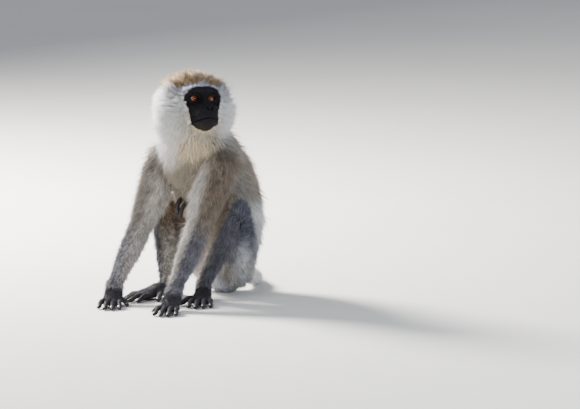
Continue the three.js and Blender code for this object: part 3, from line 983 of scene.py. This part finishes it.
class Finish:
    """A material: a Principled shader, and the nodes that feed it."""

    def __init__(self, name, **uniform):
        self.material = bpy.data.materials.new(name)
        self.material.use_nodes = True
        self.tree = self.material.node_tree
        self.shader = self.tree.nodes["Principled BSDF"]
        for socket, value in uniform.items():
            self.shader.inputs[socket.replace("_", " ")].default_value = value
        self.place = self.node("ShaderNodeTexCoord", output="Object")

    def node(self, kind, settings=None, sockets=None, output=0):
        """Adds a node: its settings first, then its sockets by name or number."""
        made = self.tree.nodes.new(kind)
        for key, value in (settings or {}).items():
            if key == "stops":
                for _ in value[2:]:
                    made.color_ramp.elements.new(0.5)
                for element, (position, colour) in zip(made.color_ramp.elements, value):
                    element.position, element.color = position, (*colour, 1)
            else:
                setattr(made, key, value)
        for key, value in (sockets or {}).items():
            self.feed(made.inputs[key], value)
        return Amount(self, made.outputs[output])

    def feed(self, socket, value):
        if isinstance(value, Amount):
            self.tree.links.new(value.socket, socket)
        else:
            socket.default_value = value

    def set(self, **inputs):
        """Feeds the shader's sockets, named with _ for a space."""
        for name, value in inputs.items():
            self.feed(self.shader.inputs[name.replace("_", " ")], value)

    def attribute(self, name, output="Color"):
        return self.node("ShaderNodeAttribute", {"attribute_name": name}, output=output)

    def noise(self, scale, detail=2.0, place=None):
        """Noise from 0 to 1 on the piece's own coordinates, with `scale` cells to the metre."""
        sockets = {"Vector": place or self.place, "Scale": scale, "Detail": detail}
        return self.node("ShaderNodeTexNoise", {}, sockets, "Fac")

    def mix(self, factor, a, b, blend="MIX"):
        """a (1 - factor) + b factor, or a times b where the blend is MULTIPLY."""
        a, b = (c if isinstance(c, Amount) else (*c, 1) for c in (a, b))
        settings = {"data_type": "RGBA", "blend_type": blend}
        return self.node("ShaderNodeMix", settings, {0: factor, 6: a, 7: b}, 2)

    def grey(self, value):
        return self.node("ShaderNodeCombineColor", {}, {0: value, 1: value, 2: value})

    def bump(self, height, strength, distance):
        sockets = {"Strength": strength, "Distance": distance, "Height": height}
        return self.node("ShaderNodeBump", {}, sockets)

    def vector(self, operation, a, b=(0, 0, 0), output=0):
        return self.node("ShaderNodeVectorMath", {"operation": operation}, {0: a, 1: b}, output)


skin_finish = Finish("skin", Specular_IOR_Level=0.12)
bare = skin_finish.attribute("bare", "Fac")
fine_grain = skin_finish.noise(1400, 3.0)
mottle = skin_finish.noise(160, 4.0)
pores = skin_finish.node(
    "ShaderNodeTexVoronoi", {"feature": "F1"}, {"Vector": skin_finish.place, "Scale": 900.0}, "Distance"
)
shade = skin_finish.grey(0.62 + 0.5 * mottle + 0.26 * fine_grain)
skin_finish.set(
    Base_Color=skin_finish.mix(1.0, skin_finish.attribute("marking"), shade, "MULTIPLY"),
    Roughness=0.86 - 0.1 * bare + 0.2 * (mottle - 0.5),
    Normal=skin_finish.bump(pores * 0.6 + fine_grain, 0.4, 0.0006),
)
skin.data.materials.append(skin_finish.material)

# --- eyes -----------------------------------------------------------------------------------------
# Each eye is one wet ball with the clear front bulging a little over an orange-brown iris. The
# white of the eye is brown, and little of it shows between the lids.


def closed_rings(rings, first, last):
    """Points and triangles of a surface through rings of points, closed by one point at each end.
    The rings run clockwise when seen from the first end."""
    count, around = rings.shape[:2]
    points = np.vstack([rings.reshape(-1, 3), first, last])
    i = np.arange(around)
    j = (i + 1) % around
    row = np.arange(count - 1)[:, None] * around
    a, b, c, d = row + i, row + j, row + around + j, row + around + i
    sides = np.stack([np.stack([a, b, c], -1), np.stack([a, c, d], -1)], -2).reshape(-1, 3)
    start = np.column_stack([np.full(around, count * around), j, i])
    end = (count - 1) * around + np.column_stack([i, j, np.full(around, around + 1)])
    return points, np.vstack([start, sides, end])


def eyeball(sign, around=48, rings=40):
    """A ball of radius R about the eye's centre. Within 35 degrees of the way it looks, the radius
    grows by 0.8 (1 - (angle / 35 degrees)^2)^2."""
    polar = np.linspace(0, np.pi, rings + 2)[1:-1, None]
    turn = np.linspace(0, 2 * np.pi, around, endpoint=False)
    radius = EYE_RADIUS - 0.15 + 0.8 * np.square(np.maximum(1 - np.square(polar / math.radians(35)), 0))
    s, f, u = np.broadcast_arrays(
        radius * np.sin(polar) * np.cos(turn), radius * np.cos(polar), radius * np.sin(polar) * np.sin(turn)
    )
    local = np.stack([s, f, u], -1) + EYE * (sign, 1, 1)
    ends = EYE * (sign, 1, 1) + np.array([[0, EYE_RADIUS + 0.65, 0], [0, 0.15 - EYE_RADIUS, 0]])
    return closed_rings(HEAD_CENTRE + local @ HEAD_AXES, *(HEAD_CENTRE + ends @ HEAD_AXES))


for name, s in SIDES.items():
    eye = new_piece(f"eyeball_{name}", *eyeball(s["sign"]))
    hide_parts(f"eye_{name}")
    finish = Finish(f"eye_{name}", Coat_Weight=1.0, Coat_Roughness=0.08, IOR=1.38)
    centre = (HEAD_CENTRE + EYE * (s["sign"], 1, 1) @ HEAD_AXES) * MM
    offset = finish.vector("SUBTRACT", finish.place, tuple(centre))
    crossed = finish.vector("CROSS_PRODUCT", offset, tuple(HEAD_AXES[1]))
    off_axis = finish.vector("LENGTH", crossed, output="Value")
    spokes = finish.noise(6.0, 3.0, finish.vector("NORMALIZE", crossed))
    stops = [
        (0.0, tone(4, 4, 6)),
        (0.225, tone(5, 5, 6)),
        (0.25, tone(70, 28, 12)),
        (0.34, tone(140, 64, 28)),
        (0.47, tone(120, 50, 20)),
        (0.53, tone(54, 23, 12)),
        (0.57, tone(26, 16, 14)),
        (1.0, tone(38, 26, 24)),
    ]
    colour = finish.node("ShaderNodeValToRGB", {"stops": stops}, {0: off_axis * (1000 / EYE_RADIUS)})
    finish.set(
        Base_Color=finish.mix(1.0, colour, finish.grey(0.7 + 0.6 * spokes), "MULTIPLY"),
        Roughness=0.06 + 0.08 * spokes,
        Normal=finish.bump(spokes, 0.05, 0.0002),
    )
    eye.data.materials.append(finish.material)

# --- ears -----------------------------------------------------------------------------------------
# The ears are thin, black and cupped, rounded above and set low on the skull. They lie open in a
# parting of the ruff.


def ear(sign, around=28):
    """Rings across a curved line. A ring is w cos a wide and t sin a thick, and its edges turn
    outward by 4.5 cos^2 a."""
    line = through(
        [
            (sign * 36, -4, -17, 3.4, 1.4),
            (sign * 40, -7, -11, 7.6, 1.3),
            (sign * 42.5, -9.5, -3, 10.4, 1.2),
            (sign * 44, -11, 5, 10.2, 1.1),
            (sign * 45, -12.5, 11.5, 6.4, 1.0),
            (sign * 45.2, -13, 14, 2.0, 0.7),
        ],
        22,
    )
    at, w, t = line[:, None, :3], line[:, None, 3], line[:, None, 4]
    a = np.linspace(0, 2 * np.pi, around, endpoint=False)
    width = w * np.cos(a)
    out = t * np.sin(a) + 4.5 * np.square(np.cos(a)) * np.minimum(w / 9, 1)
    local = at + width[..., None] * np.array([sign * 0.25, 0.95, 0.1])
    local = local + out[..., None] * np.array([sign, -0.1, 0])
    local = local if sign > 0 else local[:, ::-1]
    rings = HEAD_CENTRE + local @ HEAD_AXES
    return closed_rings(rings, rings[0].mean(0), rings[-1].mean(0))


leather = Finish("bare_leather", Specular_IOR_Level=0.45)
grain = leather.noise(900, 4.0)
blotch = leather.noise(120, 3.0)
leather.set(
    Base_Color=leather.mix(blotch, BLACK_FACE, tone(60, 48, 49)),
    Roughness=0.42 + 0.25 * grain,
    Normal=leather.bump(grain, 0.4, 0.0005),
)
for name, s in SIDES.items():
    piece = new_piece(f"ear_shell_{name}", *ear(s["sign"]))
    piece.data.materials.append(leather.material)
    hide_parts(f"ear_{name}")

# --- teats ----------------------------------------------------------------------------------------
# She has suckled young, so her two teats are long, dark and wrinkled, and hang side by side.


def teat(sign, around=24):
    """Rings along a drooping line, each ring's radius waved by 8 per cent for the wrinkles. Hers on
    the left hangs lower."""
    x, drop = sign * 3.8 - 13, 3.5 * sign
    line = through(
        [(x, -70, 145 - drop, 3.1), (x, -83, 139 - drop, 3.6), (x + 1, -92, 132 - drop, 3.5),
         (x + 2 - sign, -95.5, 124 - drop, 3.0), (x + 2 - sign, -96, 120.5 - drop, 1.6)],
        36,
    )
    way = unit(np.gradient(line[:, :3], axis=0))
    across = unit(np.cross(way, (0, 1, 0.2)))
    depth = np.cross(way, across)
    a = np.linspace(0, 2 * np.pi, around, endpoint=False)
    wrinkles = 1 + 0.08 * np.sin(np.arange(len(line)) * 1.9)[:, None] * np.cos(2 * a + sign)
    ring = np.cos(a)[:, None] * across[:, None] + np.sin(a)[:, None] * depth[:, None]
    rings = line[:, None, :3] + ring * (line[:, 3, None] * wrinkles)[..., None]
    return closed_rings(rings, line[0, :3], line[-1, :3] + way[-1])


for name, s in SIDES.items():
    piece = new_piece(f"teat_{name}", *teat(s["sign"]))
    piece.data.materials.append(leather.material)
    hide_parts(f"nipple_{name}")

# --- nails ----------------------------------------------------------------------------------------
# Every finger and toe ends in a narrow, arched, dark horn nail set into the skin above its pad.


def nail(form, around=20):
    """Rings of a thin arched plate along the last seventh of a digit. A ring runs over an arc of 124
    degrees at the digit's radius plus 0.35 and back at that radius less 0.6, and narrows at its ends."""
    places = np.linspace(len(form.at) - 2.1, len(form.at) - 1, 7)
    at, way = form.at_place(form.at, places), unit(form.at_place(form.way, places))
    radius = form.at_place(form.half, places).mean(1)
    aside = unit(np.cross(way, (0, 0, 1)))
    above = np.cross(aside, way)
    taper = np.sqrt(1 - np.square(np.linspace(-0.55, 0.96, 7)))
    at = at + way * np.linspace(0, 1.6, 7)[:, None]
    arc = np.radians(np.concatenate([np.linspace(-62, 62, around // 2), np.linspace(62, -62, around // 2)]))
    plate = np.repeat([0.35, -0.6], around // 2)
    arc = arc * taper[:, None]
    r = (radius[:, None] + plate)[..., None]
    round_digit = np.sin(arc)[..., None] * aside[:, None] + np.cos(arc)[..., None] * above[:, None]
    rings = at[:, None] + r * round_digit
    return closed_rings(rings, rings[0].mean(0), rings[-1].mean(0))


def joined_pieces(parts):
    """Several (points, triangles) as one."""
    starts = np.cumsum([0] + [len(points) for points, _ in parts[:-1]])
    return np.vstack([points for points, _ in parts]), np.vstack([t + n for (_, t), n in zip(parts, starts)])


horn = Finish("horn", Specular_IOR_Level=0.5)
streaks = horn.noise(700, 4.0)
horn.set(
    Base_Color=horn.mix(streaks, tone(30, 27, 27), tone(62, 56, 53)),
    Roughness=0.28 + 0.2 * streaks,
    Normal=horn.bump(streaks, 0.25, 0.0003),
)
for name in SIDES:
    for end, (_, digits) in (("hand", hands[name]), ("foot", feet[name])):
        piece = new_piece(f"nails_{end}_{name}", *joined_pieces([nail(form) for form in digits]))
        piece.data.materials.append(horn.material)

# --- coat -----------------------------------------------------------------------------------------
# The coat is tufts of hair rooted in the skin. Each tapers to a point, the widest bend over on the
# way, and neighbours lean together into locks. Hairs are ringed, so tips are now pale, now dark. Each
# tuft is darker at the root: partly the darker underfur, partly painted shade for the depth of the coat.
chance = np.random.default_rng(20)
LOCK_SIZE = 5.2  # neighbours this close draw their tips together
PATCH = 0.0015  # half a tuft's patch on the unwrap
ROOT_DEPTH = 0.7  # below the skin
LONGEST_HAIR = 27
STRAYS = 0.07  # of all tufts
FLOOR_GAP = 0.35
MIXER = np.array([[12.9898, 39.346, 73.156], [78.233, 11.135, 52.235], [37.719, 83.155, 9.151]])


def scatter(chosen, count, density):
    """Random places on the chosen triangles, as often as area times density: a triangle and the
    shares of its three corners."""
    corners = skin_points[skin_triangles[chosen]]
    area = np.linalg.norm(np.cross(corners[:, 1] - corners[:, 0], corners[:, 2] - corners[:, 0]), axis=1)
    weight = np.cumsum(area * density[skin_triangles[chosen]].mean(1))
    pick = np.searchsorted(weight, chance.uniform(0, weight[-1], count))
    a, b = chance.uniform(size=(2, count))
    over = a + b > 1
    a, b = np.where(over, 1 - a, a), np.where(over, 1 - b, b)
    return chosen[np.minimum(pick, len(chosen) - 1)], np.stack([1 - a - b, a, b], 1)


def at_roots(values, triangle, shares):
    """The values of a triangle's corners, times their shares, added up."""
    return np.einsum("ij,ij...->i...", shares, values[skin_triangles[triangle]])


def lock(roots, size):
    """The middle of the lock that each root belongs to, and that lock's own chance number: the cell
    of a grid, moved by a fixed chance step."""
    cell = np.floor(roots / size)
    step = np.modf(np.sin(cell @ MIXER) * 43758.5453)[0]
    return (cell + 0.5 + 0.5 * step) * size, np.abs(step[:, 0])


def across_normal(v, normal):
    """v less its part along the normal."""
    return v - normal * np.einsum("ij,ij->i", v, normal)[:, None]


def raised(lie, normal, lift):
    """lie cos(lift) + normal sin(lift)."""
    return unit(lie * np.cos(lift)[:, None] + normal * np.sin(lift)[:, None])


def tufts(name, chosen, bent, straight, unwrap, gather=0.38, fleck=2.6, finish=None):
    """Makes one piece of the coat. A tuft runs from its root, raised from its lie by its lift, and
    past its bend is raised by part of the lift. A bent tuft has three points round its root, three
    round its bend and one at its tip; a straight one has no bend. `gather` draws the tips of a lock
    together, and cells of the size `fleck` share a pale or a dark tip."""
    count = bent + straight
    is_bent = np.arange(count) < bent
    triangle, shares = scatter(chosen, count, coat_density)

    def here(values):
        return at_roots(values, triangle, shares)

    def vary(least, most):
        return chance.uniform(least, most, count)

    def by_tuft(root_ring, bend_ring, tip):
        """The rows of every tuft: seven for each bent one, then four for each straight one."""
        curved = np.concatenate([root_ring, bend_ring, tip], axis=1)[is_bent]
        plain = np.concatenate([root_ring, tip], axis=1)[~is_bent]
        return np.vstack([curved.reshape(-1, tip.shape[2]), plain.reshape(-1, tip.shape[2])])

    root, normal = here(skin_points), unit(here(skin_normals))
    middle, lock_chance = lock(root, LOCK_SIZE)
    stray = chance.uniform(size=count) < STRAYS
    length = here(hair_length) * vary(0.7, 1.2) * (1 + 0.12 * stray)
    length *= 0.84 + 0.32 * lock_chance
    width = here(hair_width) * vary(0.7, 1.3) * (1 + 0.6 * is_bent)
    lift = here(hair_lift) * vary(0.65, 1.3) * (1 + 0.6 * stray)
    lean = np.stack([waver(root, 14, seed) for seed in (5, 6, 7)], 1) * 0.22
    lean = lean + chance.normal(size=(count, 3)) * 0.12
    lie = unit(across_normal(here(skin_lie) + lean, normal))
    start = root - normal * ROOT_DEPTH
    bend = start + raised(lie, normal, lift) * (0.45 * length)[:, None]
    tip = bend + raised(lie, normal, lift * here(tip_lift)) * (0.55 * length)[:, None]
    pull = across_normal(middle - root, normal)
    bend += pull * gather * 0.4
    tip += pull * gather * 1.3
    across = unit(np.cross(tip - start, normal))
    above = unit(np.cross(across, tip - start))
    turn = vary(-0.5, 0.5)[:, None] + np.array([np.pi / 2, np.pi * 7 / 6, np.pi * 11 / 6])
    ring = np.cos(turn)[..., None] * across[:, None] + np.sin(turn)[..., None] * above[:, None] * 0.6
    ring *= (width / 2)[:, None, None]
    points = by_tuft(start[:, None] + ring, bend[:, None] + ring * 0.75, tip[:, None])
    points[:, 2] = np.maximum(points[:, 2], FLOOR_GAP)

    i, j = np.array([(0, 1), (1, 2), (2, 0)]).T
    curved = np.stack([i, j, 3 + j, i, 3 + j, 3 + i, 3 + i, 3 + j, 0 * i + 6], 1).reshape(-1, 3)
    curved = np.arange(bent)[:, None, None] * 7 + curved
    plain = bent * 7 + np.arange(straight)[:, None, None] * 4 + np.stack([i, j, 0 * i + 3], 1)
    faces = np.vstack([curved.reshape(-1, 3), plain.reshape(-1, 3)])
    piece = new_piece(name, points, faces)

    contrast = here(coat_contrast) * (0.9 + 0.4 * is_bent)
    pale_tip = 0.64 * lock(root, fleck)[1] + 0.36 * chance.uniform(size=count) < 0.5
    tip_shade = np.where(pale_tip, 1 + 0.9 * contrast, 1 - 0.6 * contrast) * vary(0.85, 1.15)
    bend_shade = np.where(pale_tip, 1 - 0.2 * contrast, 1 - 0.1 * contrast) * vary(0.85, 1.15)
    base = here(coat_colour)
    # Roots are darkened to 0.8 - 0.52 contrast of the coat's colour. This is partly the darker underfur and
    # partly painted shade for the depth of the coat.
    root_colour, bend_colour, tip_colour = (
        (base * shade[:, None])[:, None] for shade in (0.8 - 0.52 * contrast, bend_shade, tip_shade)
    )
    rings_of_colour = (root_colour.repeat(3, axis=1), bend_colour.repeat(3, axis=1), tip_colour)
    set_attribute(piece, "marking", by_tuft(*rings_of_colour))

    spoke = np.radians([0, 120, 240])
    corners = np.stack([np.cos(spoke), np.sin(spoke)], 1) * PATCH
    centre = (unwrap(root) * (1 - 4 * PATCH) + 2 * PATCH)[:, None]
    patch = by_tuft(centre + corners, centre + corners / 2, centre)[faces.ravel()]
    piece.data.uv_layers.new(name="OFBake").data.foreach_set("uv", patch.astype(np.float32).ravel())
    piece.data.materials.append((finish or fur).material)


def unwrap_length(*forms):
    """The unwrap of lengths end to end: how far along, by the turn about the path."""

    def unwrap(roots):
        best = np.full(len(roots), np.inf)
        flat = np.zeros((len(roots), 2))
        for k, form in enumerate(forms):
            distance, place = form.measure(roots, 1e3)
            nearer = distance < best
            place = place[nearer]
            off = roots[nearer] - form.at_place(form.at, place)
            x = np.einsum("ij,ij->i", off, form.at_place(form.across, place))
            y = np.einsum("ij,ij->i", off, form.at_place(form.depth, place))
            best[nearer] = distance[nearer]
            along = (form.along(place) + k) / len(forms)
            flat[nearer] = np.column_stack([np.arctan2(y, x) / (2 * np.pi) + 0.5, along])
        return flat

    return unwrap


def unwrap_head(roots):
    """The unwrap of the head: the turn about the face's middle, by the angle away from it."""
    q = unit(on_axes_of_head(roots))
    turn = np.arctan2(q[:, 0], q[:, 2])
    away = np.arccos(np.clip(q[:, 1], -1, 1)) / np.pi
    return 0.5 + 0.5 * away[:, None] * np.stack([np.sin(turn), np.cos(turn)], 1)


def hair(name, **uniform):
    """The finish of hair: its markings, with the painted shade at the roots, broken up by fine and by broad
    noise.
    """
    finish = Finish(name, **uniform)
    strands = finish.noise(1100, 2.0)
    shade = finish.grey(0.7 + 0.3 * finish.noise(60, 3.0) + 0.3 * strands)
    finish.set(
        Base_Color=finish.mix(1.0, finish.attribute("marking"), shade, "MULTIPLY"),
        Roughness=0.55 + 0.25 * strands,
        Normal=finish.bump(strands, 0.3, 0.0004),
    )
    return finish


fur = hair("fur", Specular_IOR_Level=0.25, Sheen_Weight=0.25, Sheen_Roughness=0.5)
down_hair = hair("down", Specular_IOR_Level=0.08)

crown_share = share_of["head"] * ramp(skin_q[:, 2] + 0.5 * np.maximum(-skin_q[:, 1], 0), 16, 24)
ruff_share = share_of["head"] * (1 - crown_share)
arm_share = share_of["arm_left"] + share_of["arm_right"]
front_share = share_of["trunk"] * ramp(-skin_normals[:, 1], 0.1, 0.7)
limb_share = arm_share + share_of["leg_left"] + share_of["leg_right"]
hair_length = 2.1 - 0.75 * crown_share - 0.85 * ruff_share - 0.65 * front_share - 0.35 * limb_share
hair_length *= coat_depth
hair_length *= 1 - 0.5 * share_of["trunk"] * ramp(skin_points[:, 2], 45, 5)
hair_length = hair_length * (1 - end_share) + (2.4 + 2.6 * coat_depth) * end_share
hair_length *= 1 - 0.6 * np.exp(-((skin_points - (-13, -78, 138)) ** 2).sum(1) / 15**2)
from_ear = np.linalg.norm(folded(skin_q) - (42, -16, 3), axis=1)
hair_length *= 1 - 0.7 * bell(from_ear, 15)
hair_length = np.minimum(hair_length, LONGEST_HAIR)
hair_lift = 36 + 24 * crown_share + 20 * ruff_share + 8 * limb_share - 8 * share_of["tail"] - 6 * end_share
hair_lift = np.radians(hair_lift)
tip_lift = 0.5 + 0.32 * share_of["head"]
hair_width = 0.98 - 0.34 * share_of["head"] - 0.12 * share_of["tail"] - 0.12 * arm_share
hair_width -= 0.28 * end_share
coat_density = (1 - end_share * ramp(-skin_normals[:, 2], -0.2, 0.3)) * ramp(from_ear, 6, 12)

# The bare face has a short black down, thickest at the rim and over the brow.
on_mask = mask_gap < 0.6
round_eye = np.hypot(np.abs(skin_q[:, 0]) - EYE[0], skin_q[:, 2] - EYE[2])
round_nose = np.hypot(skin_q[:, 0], skin_q[:, 2] + 17)
down_density = (0.2 + 0.8 * ramp(mask_gap, -10, 0)) * ramp(round_eye, 8.5, 11) * ramp(round_nose, 11, 15)
coat_density = np.where(on_mask, down_density, coat_density)
hair_length = np.where(on_mask, 1.6 + 2.2 * ramp(mask_gap, -8, 0), hair_length)
hair_width = np.where(on_mask, 0.34, hair_width)
hair_lift = np.where(on_mask, np.radians(32), hair_lift)

first_corner = skin_triangles[:, 0]
owner = np.argmax(region_share, axis=0)[first_corner]
of_region = {name: np.flatnonzero(owner == k) for k, name in enumerate(region_names)}
on_face = on_mask[first_corner]
on_crown = crown_share[first_corner] > 0.5
rearward = skin_normals[first_corner, 1] > 0.15


def within(region, condition):
    """A region's triangles that meet a condition."""
    return of_region[region][condition[of_region[region]]]


crown = within("head", ~on_face & on_crown)
tufts("coat_crown", crown, 7000, 36000, unwrap_head, 0.62, LOCK_SIZE)
tufts("coat_face", within("head", on_face), 0, 8000, unwrap_head, 0.1, finish=down_hair)
for name, s in SIDES.items():
    this_side = within("head", ~on_face & ~on_crown & (skin_q[first_corner, 0] * s["sign"] > 0))
    tufts(f"coat_ruff_{name}", this_side, 6000, 46000, unwrap_head, 0.65)
along_trunk = unwrap_length(trunk, neck)
tufts("coat_chest", within("trunk", ~rearward), 7000, 27000, along_trunk)
tufts("coat_back", within("trunk", rearward), 8000, 30000, along_trunk)
for name in SIDES:
    tufts(f"coat_arm_{name}", of_region[f"arm_{name}"], 5000, 26000, unwrap_length(arms[name]))
    along_leg = unwrap_length(thighs[name], shins[name])
    tufts(f"coat_leg_{name}", of_region[f"leg_{name}"], 5000, 24000, along_leg)
    for end, (base, digits) in (("hand", hands[name]), ("foot", feet[name])):
        chosen = of_region[f"{end}_{name}"]
        tufts(f"coat_{end}_{name}", chosen, 0, 6000, unwrap_length(base, *digits), 0.1)
tufts("coat_tail", of_region["tail"], 3000, 18000, unwrap_length(tail), 0.25)

# --- floor and lights -----------------------------------------------------------------------------
# A plain pale floor. A soft light stands in front, a small strong one behind her on the left of the
# view edges the coat, and a weak bluish one on the right fills the shadows.
floor_mesh = bpy.data.meshes.new("floor")
floor_mesh.from_pydata([(-20, -20, 0), (20, -20, 0), (20, 20, 0), (-20, 20, 0)], [], [(0, 1, 2, 3)])
floor = bpy.data.objects.new("floor", floor_mesh)
bpy.context.scene.collection.objects.link(floor)
lime = Finish("lime_wash", Specular_IOR_Level=0.2)
cloud = lime.noise(3.0, 4.0)
lime.set(
    Base_Color=lime.mix(cloud, tone(218, 216, 212), tone(230, 229, 226)),
    Roughness=0.8 + 0.15 * cloud,
    Normal=lime.bump(lime.noise(220, 3.0), 0.08, 0.001),
)
floor_mesh.materials.append(lime.material)


def soft_light(name, turn, rise, distance, size, power, colour):
    """A round area light at a turn and a rise as the camera's, aimed at the chest."""
    lamp = bpy.data.objects.new(name, bpy.data.lights.new(name, "AREA"))
    lamp.data.shape = "DISK"
    lamp.data.size, lamp.data.energy, lamp.data.color = size, power, colour
    stand(lamp, Vector((0, -0.05, 0.17)), out_from_her(turn, rise), distance)


soft_light("front", 10, 48, 2.2, 1.4, 19, (1.0, 0.98, 0.95))
soft_light("edge", -92, 30, 2.0, 0.7, 310, (1.0, 0.97, 0.92))
soft_light("fill", 84, 15, 2.2, 1.1, 23, (0.8, 0.9, 1.0))
world = bpy.data.worlds.new("room")
world.use_nodes = True
room_light = world.node_tree.nodes["Background"].inputs
room_light["Color"].default_value = (0.85, 0.9, 1.0, 1)
room_light["Strength"].default_value = 0.5
bpy.context.scene.world = world

# --- sizes ----------------------------------------------------------------------------------------
# The view layer is brought up to date.
bpy.context.view_layer.update()
